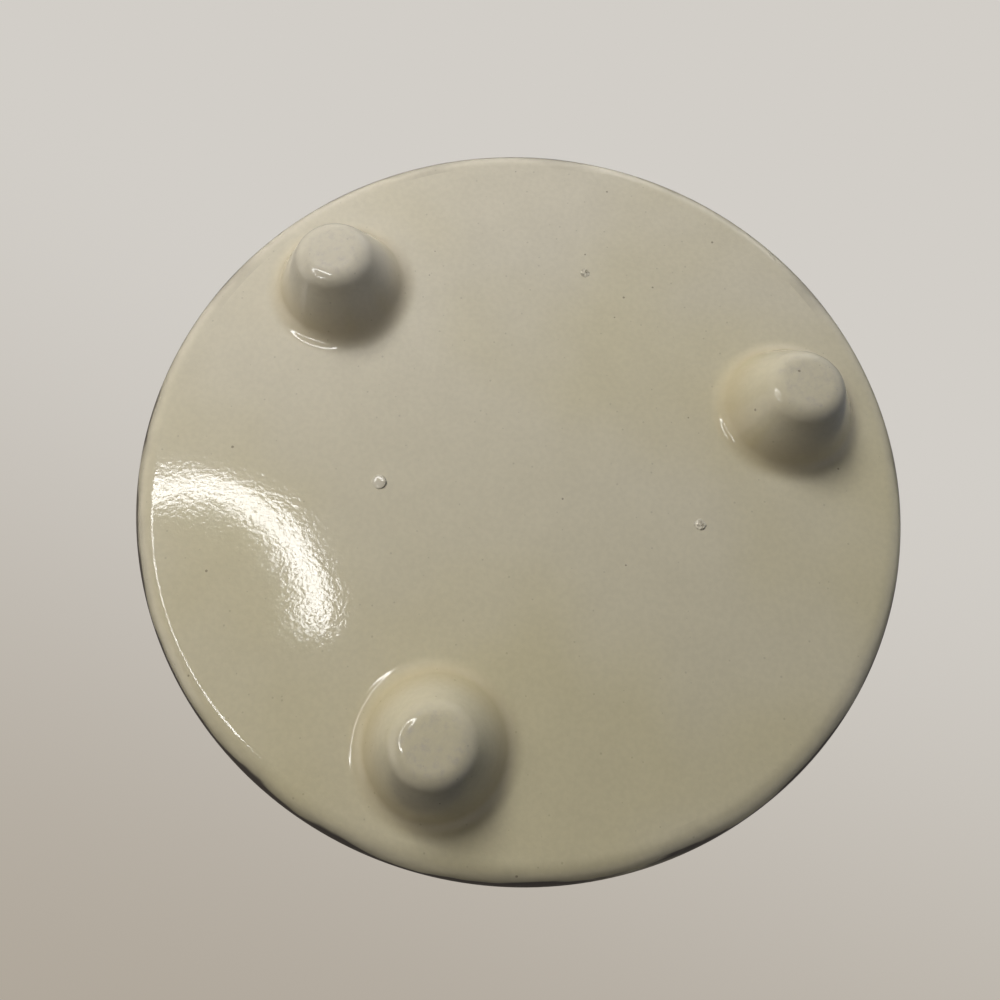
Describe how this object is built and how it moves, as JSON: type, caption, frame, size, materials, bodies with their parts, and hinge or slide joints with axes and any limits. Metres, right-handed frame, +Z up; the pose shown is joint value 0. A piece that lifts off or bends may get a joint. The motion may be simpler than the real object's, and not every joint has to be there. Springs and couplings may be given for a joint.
{
  "type": "ceramic jar",
  "caption": "Round glazed ceramic storage jar on short conical feet, with a lift-off domed lid, a mushroom knob and a sealing ring, for keeping dry goods.",
  "frame": {"origin": "on the jar's axis, on the plane of the feet's tips", "axes": "+Z up along the jar's axis, +Y towards one of the feet"},
  "size_m": [0.123, 0.123, 0.1354],
  "materials": {
    "cream_glaze": "glossy cream glaze with an orange-peel skin over slip-cast earthenware",
    "seal_silicone": "matte milky silicone"
  },
  "bodies": {
    "jar": {"jar_body": "cream_glaze"},
    "lid": {"lid": "cream_glaze", "lid_seal": "seal_silicone"}
  },
  "joints": [
    {"name": "lid_lift", "type": "slide", "parent": "jar", "child": "lid", "axis": [0, 0, 1], "range_m": [0, 0.12]}
  ]
}
